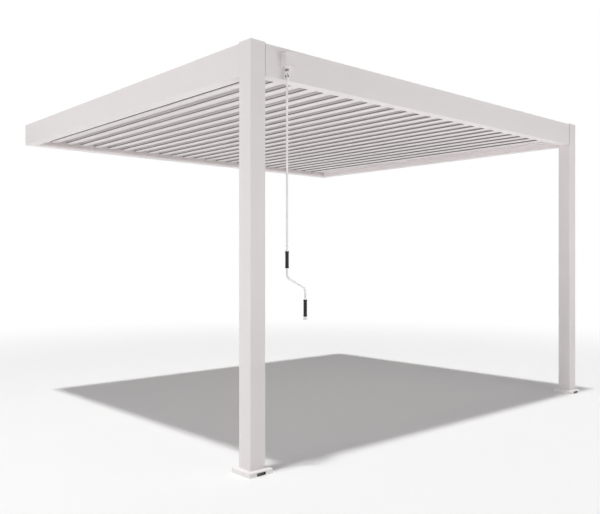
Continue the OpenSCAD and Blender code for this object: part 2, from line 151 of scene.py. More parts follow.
class PergolaFittings(bpy.types.PropertyGroup):
    """Sizes of the small fittings."""

    soft_edge: length("Soft edge", "Bevel on the edges of thin fittings", 0.4 * MM)
    round_edge: length("Round edge", "Bevel on the edges of screws, beads and plugs", 0.8 * MM)
    bush_flange_d: length("Bush flange", "Diameter of the pivot bush's flange", 22 * MM)
    bush_flange_t: length("Bush flange thickness", "Thickness of the flange", 1.5 * MM)
    bush_collar_d: length("Bush collar", "Diameter of the collar on the flange", 17 * MM)
    bush_collar_t: length("Bush collar height", "Height of the collar on the flange", 1.5 * MM)
    bush_bore_d: length("Bush bore", "Bore that the louvre pivot turns in", 12.6 * MM)
    clip_d: length("Clip", "Diameter of the push-on clip on a lever pin", 13 * MM)
    clip_t: length("Clip thickness", "Sheet thickness of the clip", 0.7 * MM)
    clip_bore_d: length("Clip bore", "Hole of the clip", 6.2 * MM)
    screw_d: length("Screw head", "Diameter of the louvre cap screws' heads", 7 * MM)
    screw_h: length("Screw head height", "Height of the screw heads", 2.4 * MM)
    screw_socket_d: length("Screw socket", "Width of the hexagon socket over its corners", 3.6 * MM)
    body_screw_u: length("Body screw", "From the pivot across to the screw in the louvre's body", 22 * MM)
    tail_screw_u: length("Tail screw", "From the pivot across to the screw in the louvre's tail", 60 * MM)
    tail_screw_v: length("Tail screw rise", "From the pivot up to the screw in the louvre's tail", 8 * MM)
    cap_gap: length("Cap gap", "From a beam's inner face to the louvre cap", 20.7 * MM)
    plug_d: length("Plug", "Diameter of the plugs over the wall fixings", 32 * MM)
    plug_t: length("Plug thickness", "Thickness of the plugs' rims", 1.5 * MM)
    plug_rim: length("Plug rim", "Width of the plugs' flat rims", 3 * MM)
    plug_dish: length("Plug dish", "Depth of the dish inside the rims", 0.7 * MM)
    upstand_h: length("Upstand", "Height of the louvre nose that carries the seal", 6 * MM)
    upstand_t: length("Upstand thickness", "Thickness of the louvre nose", 3 * MM)
    bead_h: length("Seal bead", "Height of the seal's firm bead", 7 * MM)
    fin_h: length("Seal fin", "Height of the soft fin on the bead", 17.4 * MM)
    fin_t: length("Fin thickness", "Thickness of the soft fin", 1.4 * MM)
    fin_lean: length("Fin lean", "How far the fin leans over the channel", 0.8 * MM)
    spout_w: length("Spout width", "Width of the drain spout's rim", 62 * MM)
    spout_h: length("Spout height", "Height of the drain spout's rim", 15.4 * MM)
    spout_t: length("Spout rim", "Thickness of the drain spout's rim", 1.5 * MM)
    spout_edge: length("Spout edge", "Width of the rim round the spout's sleeve", 1.2 * MM)
    spout_wall: length("Spout wall", "Wall of the spout's sleeve", 1.2 * MM)
    spout_l: length("Spout length", "Length of the spout's sleeve into the post", 34 * MM)
    boot_rib_d: length("Boot rib", "Thickness of the ribs of the boot on the shaft", 4 * MM)
    boot_flare: length("Boot flare", "How much further out each higher rib of the boot lies", 0.5 * MM)
    boot_gap: length("Boot gap", "From the collar to the boot on the shaft", 1 * MM)
    shaft_d: length("Shaft", "Diameter of the driven shaft", 12 * MM)
    pin_cap_d: length("Pin cap", "Diameter of the caps on the knuckle pins", 9 * MM)
    pin_cap_t: length("Pin cap thickness", "Thickness of the caps on the knuckle pins", 1.8 * MM)
    pin_cap_gap: length("Pin cap gap", "From a knuckle pin's end to its cap", 0.2 * MM)
    # Painted shade: these two strip widths set how dark each end of the front beam looks, in place of its shadow
    # gaps; the far one is wider.
    near_seal_w: length("Joint seal", "Width of the seal at the front beam's tight end", 1.5 * MM)
    far_seal_w: length("Slip seal", "Width of the seal at the end where the front beam can expand", 6 * MM)
    joint_proud: length("Joint seal height", "How far both seals stand proud of the beam", 0.5 * MM)
    drain_rise: length("Drain rise", "Height of the rainwater slot's middle above the ground", 12 * MM)


class PergolaStage(bpy.types.PropertyGroup):
    """Camera and light of the studio stage."""

    camera_place: FloatVectorProperty(
        name="Camera place",
        description="Where the camera stands",
        subtype="TRANSLATION",
        unit="LENGTH",
        default=(-4.3723, -6.5669, -1.1662),
    )
    camera_turn: angle("Camera turn", "Heading of the camera, from +Y towards +X", 41.887)
    camera_lens: FloatProperty(
        name="Lens", description="Focal length in millimetres", subtype="DISTANCE_CAMERA", default=42.018
    )
    camera_sensor: FloatProperty(
        name="Sensor", description="Sensor width in millimetres", subtype="DISTANCE_CAMERA", default=36
    )
    camera_rise: FloatProperty(name="Rise", description="Vertical shift of the view", default=0.00595)
    zenith: strength("Zenith", "Strength of the dome overhead", 0.44)
    horizon: strength("Horizon", "Strength of the dome at floor level", 0.14)
    sun: strength("Key light", "Strength of the soft overhead key", 1.93)
    key_lean: angle("Key lean", "Lean of the key to the left of overhead", 7.01)
    key_soft: angle("Key softness", "Spread of the key's rays", 3.5)
    bounce: power("Bounce", "Power of the card under the roof", 11)
    bounce_w: length("Bounce width", "Side of the square card under the roof", 6.0)
    bounce_spread: angle("Bounce spread", "Spread of that card's light", 100)
    glow: power("Glow", "Power of the card on the floor in front", 20)
    glow_place: length("Glow place", "From the wall to that card", 5.0)
    glow_w: length("Glow width", "Width of that card", 5.0)
    glow_d: length("Glow depth", "Depth of that card", 1.6)
    glow_spread: angle("Glow spread", "Spread of that card's light", 120)
    card_lift: length("Card lift", "Height of both floor cards above the floor", 0.02)
    side: power("Side light", "Power of the soft box on the left", 86)
    side_place: length("Side place", "From the middle of the frame to that soft box", 7.0)
    front: power("Front light", "Power of the soft box in front", 95)
    front_place: length("Front place", "From the wall to that soft box", 10.5)
    front_right: length("Front offset", "How far that soft box stands to the right", 1.0)
    box_w: length("Soft box width", "Width of both soft boxes", 5.0)
    box_h: length("Soft box height", "Height of both soft boxes", 2.6)
    floor_pale: colour("Floor", "Matt floor of the stage", "F0F0F0")
    floor_w: length("Floor width", "Side of the square floor", 120.0)
    fade_from: length("Fade from", "Where the floor starts to fade to white", 3.5)
    fade_to: length("Fade to", "Where the floor is all white", 9.0)


class PergolaSettings(bpy.types.PropertyGroup):
    """All settings of the pergola's dressing."""

    finishes: PointerProperty(type=PergolaFinishes)
    fittings: PointerProperty(type=PergolaFittings)
    stage: PointerProperty(type=PergolaStage)


def put(tree, kind, settings=None, sockets=None):
    """Adds one node; sockets maps an input to a value, or to another node's output."""
    node = tree.nodes.new(kind)
    for key, value in (settings or {}).items():
        setattr(node, key, value)
    for key, value in (sockets or {}).items():
        if isinstance(value, bpy.types.NodeSocket):
            tree.links.new(value, node.inputs[key])
        else:
            node.inputs[key].default_value = value
    return node


def per_mm(size):
    """Pattern scale at which one feature measures size millimetres."""
    return 1 / (size * MM)


def toned(base, share):
    """A colour made darker or paler by a share."""
    return [min(1, part * share) for part in base[:3]] + [1]


def blank(name):
    """A material with an empty node tree, and the Object coordinates that its patterns read."""
    material = bpy.data.materials.new(name)
    material.use_nodes = True
    tree = material.node_tree
    tree.nodes.clear()
    return material, tree, put(tree, "ShaderNodeTexCoord").outputs["Object"]


def coat(name, base, grain_mm, rough, mottle=0.03, draw_mm=None):
    """Polyester coat on aluminium: a soft sheen, a fine orange-peel grain and a faint cloudiness."""
    cloud_mm = 450
    draw_length_mm = 2500
    # How far the roughness strays to either side
    spread = 0.05
    peel_strength = 0.08
    peel_depth = 0.3 * MM
    material, tree, place = blank(name)
    cloud = put(
        tree,
        "ShaderNodeTexNoise",
        sockets={"Vector": place, "Scale": per_mm(cloud_mm), "Detail": 3},
    )
    tone = put(
        tree,
        "ShaderNodeMix",
        {"data_type": "RGBA"},
        {"Factor": cloud.outputs["Fac"], MIX_FROM: toned(base, 1 - mottle), MIX_TO: base},
    )
    # Orange peel is about half a millimetre wide; it is drawn coarser so that it shows
    peel = put(
        tree,
        "ShaderNodeTexNoise",
        sockets={"Vector": place, "Scale": per_mm(grain_mm), "Detail": 2},
    )
    height = peel.outputs["Fac"]
    if draw_mm:
        # Lines left along the extrusion by the die
        drawn = (per_mm(draw_mm), per_mm(draw_length_mm), per_mm(draw_mm))
        stretch = put(tree, "ShaderNodeMapping", sockets={"Vector": place, "Scale": drawn})
        lines = put(
            tree,
            "ShaderNodeTexNoise",
            sockets={"Vector": stretch.outputs[0], "Scale": 1, "Detail": 1},
        )
        both = put(tree, "ShaderNodeMath", {"operation": "ADD"}, {0: height, 1: lines.outputs["Fac"]})
        height = both.outputs[0]
    bump = put(
        tree,
        "ShaderNodeBump",
        sockets={"Height": height, "Strength": peel_strength, "Distance": peel_depth},
    )
    sheen = put(
        tree,
        "ShaderNodeMapRange",
        sockets={"Value": peel.outputs["Fac"], "To Min": rough - spread, "To Max": rough + spread},
    )
    shader = put(
        tree,
        "ShaderNodeBsdfPrincipled",
        sockets={
            "Base Color": tone.outputs[MIX_RESULT],
            "Roughness": sheen.outputs[0],
            "Normal": bump.outputs[0],
            "IOR": PLASTIC_IOR,
        },
    )
    put(tree, "ShaderNodeOutputMaterial", sockets={"Surface": shader.outputs[0]})
    return material


def plated_steel(name, base, spangle_mm, brush_mm, rough):
    """Zinc-plated steel: a dull metal with a fine brushed grain and small cloudy spangles."""
    spangle_share = 0.8
    # How far the roughness strays to either side
    spread = 0.1
    brush_strength = 0.1
    brush_depth = 0.1 * MM
    material, tree, place = blank(name)
    spangle = put(tree, "ShaderNodeTexVoronoi", sockets={"Vector": place, "Scale": per_mm(spangle_mm)})
    # Brush marks are about a tenth of a millimetre wide; they are drawn coarser so that they show
    brushed = put(
        tree,
        "ShaderNodeTexNoise",
        sockets={"Vector": place, "Scale": per_mm(brush_mm), "Detail": 4},
    )
    tone = put(
        tree,
        "ShaderNodeMix",
        {"data_type": "RGBA"},
        {"Factor": spangle.outputs["Distance"], MIX_FROM: base, MIX_TO: toned(base, spangle_share)},
    )
    sheen = put(
        tree,
        "ShaderNodeMapRange",
        sockets={"Value": brushed.outputs["Fac"], "To Min": rough - spread, "To Max": rough + spread},
    )
    bump = put(
        tree,
        "ShaderNodeBump",
        sockets={"Height": brushed.outputs["Fac"], "Strength": brush_strength, "Distance": brush_depth},
    )
    shader = put(
        tree,
        "ShaderNodeBsdfPrincipled",
        sockets={
            "Base Color": tone.outputs[MIX_RESULT],
            "Metallic": 1,
            "Roughness": sheen.outputs[0],
            "Normal": bump.outputs[0],
        },
    )
    put(tree, "ShaderNodeOutputMaterial", sockets={"Surface": shader.outputs[0]})
    return material


def moulded(name, base, grain_mm, depth_mm, rough):
    """Moulded plastic or rubber: an even colour with the spark-eroded grain of its mould."""
    wear_mm = 25
    wear_share = 1.15
    # How far the roughness strays to either side
    spread = 0.06
    grain_relief = 0.4
    shine = 0.3
    material, tree, place = blank(name)
    # A mould's grain is about a tenth of a millimetre wide; it is drawn coarser so that it shows
    grain = put(tree, "ShaderNodeTexVoronoi", sockets={"Vector": place, "Scale": per_mm(grain_mm)})
    worn = put(
        tree,
        "ShaderNodeTexNoise",
        sockets={"Vector": place, "Scale": per_mm(wear_mm), "Detail": 3},
    )
    tone = put(
        tree,
        "ShaderNodeMix",
        {"data_type": "RGBA"},
        {"Factor": worn.outputs["Fac"], MIX_FROM: base, MIX_TO: toned(base, wear_share)},
    )
    bump = put(
        tree,
        "ShaderNodeBump",
        sockets={"Height": grain.outputs["Distance"], "Strength": grain_relief, "Distance": depth_mm * MM},
    )
    sheen = put(
        tree,
        "ShaderNodeMapRange",
        sockets={"Value": worn.outputs["Fac"], "To Min": rough - spread, "To Max": rough + spread},
    )
    shader = put(
        tree,
        "ShaderNodeBsdfPrincipled",
        sockets={
            "Base Color": tone.outputs[MIX_RESULT],
            "Roughness": sheen.outputs[0],
            "Normal": bump.outputs[0],
            "IOR": PLASTIC_IOR,
            "Specular IOR Level": shine,
        },
    )
    put(tree, "ShaderNodeOutputMaterial", sockets={"Surface": shader.outputs[0]})
    return material


def finish_of(slot):
    """The finish of a material slot or fitting, made when it is first asked for."""
    colours = bpy.context.scene.pergola.finishes
    frame_coat = {"grain_mm": 3, "rough": 0.45}
    louvre_coat = {"grain_mm": 3, "rough": 0.42, "mottle": 0.02, "draw_mm": 4}
    cover_coat = {"grain_mm": 3, "rough": 0.45, "mottle": 0.01}
    rod_coat = {"grain_mm": 2, "rough": 0.3, "mottle": 0.01}
    plating = {"spangle_mm": 7, "brush_mm": 1.5, "rough": 0.38}
    grip_rubber = {"grain_mm": 1.6, "depth_mm": 0.4, "rough": 0.62}
    shade_rubber_grain = {"grain_mm": 1.6, "depth_mm": 0.2, "rough": 0.6}
    shade_seal_rubber = {"grain_mm": 1.2, "depth_mm": 0.1, "rough": 0.7}
    hard_nylon = {"grain_mm": 0.8, "depth_mm": 0.1, "rough": 0.4}
    name, make, base, settings = {
        "white_frame": ("powder_coat_white_frame", coat, colours.frame_white, frame_coat),
        "white_louvre": ("powder_coat_white_louvre", coat, colours.louvre_white, louvre_coat),
        # Painted highlight: the paler cover coat stands in for the lit tops of the foot covers
        "white_cover": ("powder_coat_white_cover", coat, colours.cover_white_painted_highlight, cover_coat),
        "white_rod": ("gloss_coat_white_rod", coat, colours.rod_white, rod_coat),
        "grey_metal": ("zinc_plated_steel", plated_steel, colours.zinc, plating),
        "black_grip": ("moulded_rubber_black", moulded, colours.rubber, grip_rubber),
        # Painted shade: this grey rubber stands in for shadow gaps
        "shade_grey_rubber": ("moulded_rubber_grey", moulded, colours.shade_grey_rubber, shade_rubber_grain),
        # Painted shade: the seal's bead and fin greys stand in for the shade between louvres
        "seal": ("extruded_rubber_bead", moulded, colours.seal, shade_seal_rubber),
        "fin": ("extruded_rubber_fin", moulded, colours.fin, shade_seal_rubber),
        "nylon": ("moulded_nylon_white", moulded, colours.nylon, hard_nylon),
    }[slot]
    return bpy.data.materials.get(name) or make(name, base, **settings)


def start(add, **where):
    """Adds a primitive with nothing else selected, and puts its place into its mesh."""
    bpy.ops.object.select_all(action="DESELECT")
    add(**where)
    bpy.ops.object.transform_apply(location=True, rotation=True, scale=True)
    return bpy.context.active_object


def disc(radius, thickness, centre, sides=32):
    """A round blank along Y."""
    return start(
        bpy.ops.mesh.primitive_cylinder_add,
        vertices=sides,
        radius=radius,
        depth=thickness,
        location=centre,
        rotation=(QUARTER_TURN, 0, 0),
    )


def edit(piece):
    """Opens a piece in edit mode with nothing selected."""
    bpy.context.view_layer.objects.active = piece
    bpy.ops.object.mode_set(mode="EDIT")
    bpy.ops.mesh.select_all(action="DESELECT")


def leave_edit():
    """Goes back to object mode."""
    bpy.ops.object.mode_set(mode="OBJECT")


def pick_faces(piece, test):
    """Selects the faces whose middle and normal pass a test."""
    bpy.ops.mesh.select_mode(type="FACE")
    bpy.ops.mesh.select_all(action="DESELECT")
    shape = bmesh.from_edit_mesh(piece.data)
    for face in shape.faces:
        face.select_set(bool(test(face.calc_center_median(), face.normal)))
    bmesh.update_edit_mesh(piece.data)


def pick_edges(piece, test):
    """Selects the edges whose two ends pass a test."""
    bpy.ops.mesh.select_mode(type="EDGE")
    bpy.ops.mesh.select_all(action="DESELECT")
    shape = bmesh.from_edit_mesh(piece.data)
    for edge in shape.edges:
        edge.select_set(all(test(vert.co) for vert in edge.verts))
    bmesh.update_edit_mesh(piece.data)


def from_axis(point, axis):
    """Distance of a point from an axis along Y."""
    return math.hypot(point.x - axis.x, point.z - axis.z)


def bore_through(piece, axis):
    """Joins the two faces on an axis along Y by a bore."""
    pick_faces(piece, lambda middle, normal: from_axis(middle, axis) < TINY and abs(normal.y) > FACING)
    bpy.ops.mesh.bridge_edge_loops()


def joined(pieces):
    """Joins pieces into the first of them."""
    bpy.ops.object.select_all(action="DESELECT")
    for piece in pieces:
        piece.select_set(True)
    bpy.context.view_layer.objects.active = pieces[0]
    bpy.ops.object.join()
    return pieces[0]


def repeat(piece, count, step):
    """Repeats a piece by a step with an array that is then applied."""
    array = piece.modifiers.new("row", "ARRAY")
    array.count = count
    array.use_relative_offset = False
    array.use_constant_offset = True
    array.constant_offset_displace = step
    bpy.context.view_layer.objects.active = piece
    bpy.ops.object.modifier_apply(modifier=array.name)


def copy_of(piece, move):
    """A copy of a piece with its own mesh, moved by a matrix."""
    copy = bpy.data.objects.new(piece.name, piece.data.copy())
    bpy.context.scene.collection.objects.link(copy)
    copy.data.transform(move)
    return copy


def turned(centre, degrees):
    """A turn about the upright axis through a point."""
    turn = Matrix.Rotation(math.radians(degrees), 4, "Z")
    return Matrix.Translation(centre) @ turn @ Matrix.Translation(-centre)


def attach(piece, name, body):
    """Names a piece and lets it ride on its body."""
    piece.name = name
    piece.data.name = name
    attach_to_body(piece, body)


def along_roof(first):
    """Gives each further louvre its own copy of the first louvre's fitting."""
    for i, louvre in enumerate(LOUVRES[1:], start=1):
        copy = copy_of(first, Matrix.Translation((i * PITCH, 0, 0)))
        attach(copy, first.name.replace(LOUVRES[0], louvre), louvre)


def complete(piece, name, body, finish):
    """Gives a piece its finish and smooth shading, and attaches it."""
    piece.data.materials.clear()
    piece.data.materials.append(finish_of(finish))
    bpy.ops.object.select_all(action="DESELECT")
    piece.select_set(True)
    bpy.context.view_layer.objects.active = piece
    bpy.ops.object.shade_smooth_by_angle(angle=SMOOTH_ANGLE)
    attach(piece, name, body)


class PERGOLA_OT_coat_frame(bpy.types.Operator):
    """Give every node of the frame the finish of its material slot"""

    bl_idname = "pergola.coat_frame"
    bl_label = "Coat the frame"

    def execute(self, context):
        for part in frame["record"]["subparts"]:
            node = frame["nodes"][part["node"]]
            # The foot covers take a paler coat, a painted highlight for their brightly lit tops
            finish = "white_cover" if part["node"].endswith("foot_cover") else part["material_slot"]
            for material_slot in node.material_slots:
                material_slot.material = finish_of(finish)
        return {"FINISHED"}


class PERGOLA_OT_pivot_bushes(bpy.types.Operator):
    """Model the flanged bushes that the louvre pivots turn in"""

    bl_idname = "pergola.pivot_bushes"
    bl_label = "Pivot bushes"

    def execute(self, context):
        sizes = context.scene.pergola.fittings
        flange_r, collar_r, bore_r = sizes.bush_flange_d / 2, sizes.bush_collar_d / 2, sizes.bush_bore_d / 2
        centre = Vector((PIVOT.x, FRONT_FACE + sizes.bush_flange_t / 2, PIVOT.z))
        bush = disc(flange_r, sizes.bush_flange_t, centre)
        edit(bush)
        pick_faces(bush, lambda middle, normal: normal.y > FACING)
        bpy.ops.mesh.inset(thickness=flange_r - collar_r)
        bpy.ops.mesh.extrude_region_move(TRANSFORM_OT_translate={"value": (0, sizes.bush_collar_t, 0)})
        bpy.ops.mesh.inset(thickness=collar_r - bore_r)
        pick_faces(bush, lambda middle, normal: normal.y < -FACING)
        bpy.ops.mesh.inset(thickness=flange_r - bore_r)
        bore_through(bush, PIVOT)
        top = FRONT_FACE + sizes.bush_flange_t + sizes.bush_collar_t
        pick_edges(bush, lambda end: abs(end.y - top) < TINY and from_axis(end, PIVOT) > ON_RIM * collar_r)
        bpy.ops.mesh.bevel(offset=sizes.soft_edge, segments=2)
        leave_edit()
        repeat(bush, len(LOUVRES), (PITCH, 0, 0))
        complete(bush, "front_bushes", "frame", "nylon")
        middle = Vector((PIVOT.x + PITCH * (len(LOUVRES) - 1) / 2, (FRONT_FACE + WALL_FACE) / 2, 0))
        attach(copy_of(bush, turned(middle, 180)), "wall_bushes", "frame")
        return {"FINISHED"}


class PERGOLA_OT_bar_clips(bpy.types.Operator):
    """Model the push-on clips that keep the lever pins in the tie bar"""

    bl_idname = "pergola.bar_clips"
    bl_label = "Tie bar clips"

    def execute(self, context):
        sizes = context.scene.pergola.fittings
        clip_r, bore_r = sizes.clip_d / 2, sizes.clip_bore_d / 2
        bar_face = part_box("tie_bar")[0].y
        centre = Vector((BAR_PIN.x, bar_face - sizes.clip_t / 2, BAR_PIN.z))
        clip = disc(clip_r, sizes.clip_t, centre, sides=24)
        edit(clip)
        for towards in (-1, 1):
            pick_faces(clip, lambda middle, normal: normal.y * towards > FACING)
            bpy.ops.mesh.inset(thickness=clip_r - bore_r)
        bore_through(clip, BAR_PIN)
        rim = bar_face - sizes.clip_t
        pick_edges(clip, lambda end: abs(end.y - rim) < TINY and from_axis(end, BAR_PIN) > ON_RIM * clip_r)
        bpy.ops.mesh.bevel(offset=sizes.soft_edge, segments=2)
        leave_edit()
        repeat(clip, len(LOUVRES), (PITCH, 0, 0))
        complete(clip, "tie_bar_clips", "tie_bar", "grey_metal")
        return {"FINISHED"}


class PERGOLA_OT_cap_screws(bpy.types.Operator):
    """Model the socket screws that hold the louvre end caps"""

    bl_idname = "pergola.cap_screws"
    bl_label = "Louvre cap screws"

    def screw(self, sizes, seat):
        """One pan head with a hexagon socket, facing forwards from its seat"""
        top = seat - Vector((0, sizes.screw_h, 0))
        head = disc(sizes.screw_d / 2, sizes.screw_h, (seat + top) / 2, sides=20)
        edit(head)
        pick_edges(head, lambda end: abs(end.y - top.y) < TINY)
        bpy.ops.mesh.bevel(offset=sizes.round_edge, segments=3)
        leave_edit()
        cutter = disc(sizes.screw_socket_d / 2, sizes.screw_h, top, sides=6)
        cut = head.modifiers.new("socket", "BOOLEAN")
        cut.operation = "DIFFERENCE"
        cut.object = cutter
        bpy.context.view_layer.objects.active = head
        bpy.ops.object.modifier_apply(modifier=cut.name)
        bpy.data.objects.remove(cutter)
        return head

    def execute(self, context):
        sizes = context.scene.pergola.fittings
        front, wall = FRONT_FACE + sizes.cap_gap, WALL_FACE - sizes.cap_gap
        seats = [
            Vector((PIVOT.x + sizes.body_screw_u, front, PIVOT.z)),
            Vector((PIVOT.x + sizes.tail_screw_u, front, PIVOT.z + sizes.tail_screw_v)),
        ]
        head = self.screw(sizes, seats[0])
        heads = [head, copy_of(head, Matrix.Translation(seats[1] - seats[0]))]
        middle = (front + wall) / 2
        heads += [copy_of(one, turned(Vector((seat.x, middle, 0)), 180)) for one, seat in zip(heads, seats)]
        first = joined(heads)
        complete(first, LOUVRES[0] + "_screws", LOUVRES[0], "grey_metal")
        along_roof(first)
        return {"FINISHED"}


class PERGOLA_OT_louvre_seals(bpy.types.Operator):
    """Model the rubber seals on the louvre noses, which close the slits under the next lips; their greys are
    painted shade for the recess there
    """

    bl_idname = "pergola.louvre_seals"
    bl_label = "Louvre seals"

    def strip(self, sizes, low, width, height):
        """A strip along the louvre, from the given lower edge"""
        y0, y1 = FRONT_FACE + sizes.cap_gap, WALL_FACE - sizes.cap_gap
        return start(
            bpy.ops.mesh.primitive_cube_add,
            size=1,
            location=(low.x + width / 2, (y0 + y1) / 2, low.z + height / 2),
            scale=(width, y1 - y0, height),
        )

    def execute(self, context):
        sizes = context.scene.pergola.fittings
        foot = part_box(LOUVRES[0])[0] + Vector((0, 0, sizes.upstand_h))
        bead = self.strip(sizes, foot, sizes.upstand_t, sizes.bead_h)
        edit(bead)
        top = foot.z + sizes.bead_h
        pick_edges(bead, lambda end: abs(end.z - top) < TINY)
        bpy.ops.mesh.bevel(offset=sizes.round_edge, segments=3)
        leave_edit()
        complete(bead, LOUVRES[0] + "_seal_bead", LOUVRES[0], "seal")
        along_roof(bead)
        root = Vector((foot.x + (sizes.upstand_t - sizes.fin_t) / 2, 0, top))
        fin = self.strip(sizes, root, sizes.fin_t, sizes.fin_h)
        edit(fin)
        tip = top + sizes.fin_h
        pick_faces(fin, lambda middle, normal: normal.z > FACING)
        bpy.ops.transform.translate(value=(sizes.fin_lean, 0, 0))
        pick_edges(fin, lambda end: abs(end.z - tip) < TINY)
        bpy.ops.mesh.bevel(offset=sizes.soft_edge, segments=2)
        leave_edit()
        complete(fin, LOUVRES[0] + "_seal_fin", LOUVRES[0], "fin")
        along_roof(fin)
        return {"FINISHED"}


class PERGOLA_OT_joint_seals(bpy.types.Operator):
    """Model thin dark rubber strips where the front beam butts against the posts, as painted shade for the shadow
    gaps there
    """

    bl_idname = "pergola.joint_seals"
    bl_label = "Front beam seals"

    def seal(self, left, width, proud):
        """A channel over the beam: up its outer face, and back over its top and bottom"""
        low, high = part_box("front_beam")
        edge = proud / 3
        channel = start(
            bpy.ops.mesh.primitive_cube_add,
            size=1,
            location=(left + width / 2, low.y - proud / 2, (low.z + high.z) / 2),
            scale=(width, proud, high.z - low.z + 2 * proud),
        )
        edit(channel)
        pick_edges(channel, lambda end: abs(end.y - low.y + proud) < TINY)
        bpy.ops.mesh.bevel(offset=edge, segments=2)
        for level in (low.z, high.z):
            bpy.ops.mesh.select_all(action="SELECT")
            bpy.ops.mesh.bisect(plane_co=(0, 0, level), plane_no=UP)
        pick_faces(channel, lambda middle, normal: normal.y > FACING and not low.z < middle.z < high.z)
        bpy.ops.mesh.extrude_region_move(TRANSFORM_OT_translate={"value": (0, high.y - low.y, 0)})
        leave_edit()
        return channel

    def execute(self, context):
        sizes = context.scene.pergola.fittings
        low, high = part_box("front_beam")
        tight = self.seal(low.x, sizes.near_seal_w, sizes.joint_proud)
        slip = self.seal(high.x - sizes.far_seal_w, sizes.far_seal_w, sizes.joint_proud)
        complete(joined([tight, slip]), "front_beam_seals", "frame", "shade_grey_rubber")
        return {"FINISHED"}


class PERGOLA_OT_crank_trim(bpy.types.Operator):
    """Model the ribbed boot on the driven shaft and the caps on the knuckle pins, dark pieces that are painted
    shade for the gaps under the gearbox and in the knuckle
    """

    bl_idname = "pergola.crank_trim"
    bl_label = "Crank trim"

    def boot(self, sizes):
        """Ribs under the gearbox collar, of which the lowest grips the shaft"""
        count = 3
        low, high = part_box("gearbox_collar")
        rib_r = sizes.boot_rib_d / 2
        ring_r = sizes.shaft_d / 2 + rib_r
        axis = Vector(((low.x + high.x) / 2, (low.y + high.y) / 2, low.z - sizes.boot_gap - rib_r))
        ribs = start(
            bpy.ops.mesh.primitive_torus_add,
            major_radius=ring_r,
            minor_radius=rib_r,
            major_segments=48,
            minor_segments=12,
            location=axis,
        )
        repeat(ribs, count, (0, 0, -sizes.boot_rib_d))
        wider = 1 + sizes.boot_flare / ring_r
        edit(ribs)
        for i in range(count - 1):
            level = axis.z - i * sizes.boot_rib_d - rib_r
            pick_faces(ribs, lambda middle, normal: middle.z > level)
            bpy.ops.transform.resize(value=(wider, wider, 1), center_override=axis)
        leave_edit()
        return ribs

    def pin_caps(self, sizes):
        """Four caps over the ends of the knuckle cross"""
        low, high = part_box("crank_cross")
        centre = (low + high) / 2
        middle = centre + Vector(((high.x - low.x) / 2 + sizes.pin_cap_gap + sizes.pin_cap_t / 2, 0, 0))
        cap = start(
            bpy.ops.mesh.primitive_cylinder_add,
            vertices=24,
            radius=sizes.pin_cap_d / 2,
            depth=sizes.pin_cap_t,
            location=middle,
            rotation=(0, QUARTER_TURN, 0),
        )
        edit(cap)
        pick_edges(cap, lambda end: end.x > middle.x)
        bpy.ops.mesh.bevel(offset=sizes.soft_edge, segments=2)
        leave_edit()
        return joined([cap, *(copy_of(cap, turned(centre, turn)) for turn in (90, 180, 270))])

    def execute(self, context):
        sizes = context.scene.pergola.fittings
        # Painted shade: the grey boot and the black caps stand in for the shade in the gaps under the gearbox and
        # in the knuckle
        complete(self.boot(sizes), "shaft_boot", "crank_yoke", "shade_grey_rubber")
        complete(self.pin_caps(sizes), "knuckle_pin_caps", "crank_cross", "black_grip")
        return {"FINISHED"}


class PERGOLA_OT_drain_spouts(bpy.types.Operator):
    """Model the rubber spouts in the rainwater slots of the feet"""

    bl_idname = "pergola.drain_spouts"
    bl_label = "Drain spouts"

    def execute(self, context):
        sizes = context.scene.pergola.fittings
        low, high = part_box("left_foot_cover")
        rim = low.y - sizes.spout_t
        spout = start(
            bpy.ops.mesh.primitive_cube_add,
            size=1,
            location=((low.x + high.x) / 2, (low.y + rim) / 2, GROUND + sizes.drain_rise),
            scale=(sizes.spout_w, sizes.spout_t, sizes.spout_h),
        )
        edit(spout)
        pick_faces(spout, lambda middle, normal: normal.y > FACING)
        bpy.ops.mesh.inset(thickness=sizes.spout_edge)
        bpy.ops.mesh.extrude_region_move(TRANSFORM_OT_translate={"value": (0, sizes.spout_l, 0)})
        pick_faces(spout, lambda middle, normal: normal.y < -FACING and abs(middle.y - rim) < TINY)
        bpy.ops.mesh.inset(thickness=sizes.spout_edge + sizes.spout_wall)
        bpy.ops.mesh.extrude_region_move(
            TRANSFORM_OT_translate={"value": (0, sizes.spout_l - sizes.spout_wall, 0)}
        )
        pick_edges(spout, lambda end: abs(end.y - rim) < TINY)
        bpy.ops.mesh.bevel(offset=sizes.soft_edge, segments=2)
        leave_edit()
        complete(spout, "left_drain_spout", "frame", "black_grip")
        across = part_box("right_foot_cover")[0] - low
        attach(copy_of(spout, Matrix.Translation(across)), "right_drain_spout", "frame")
        return {"FINISHED"}


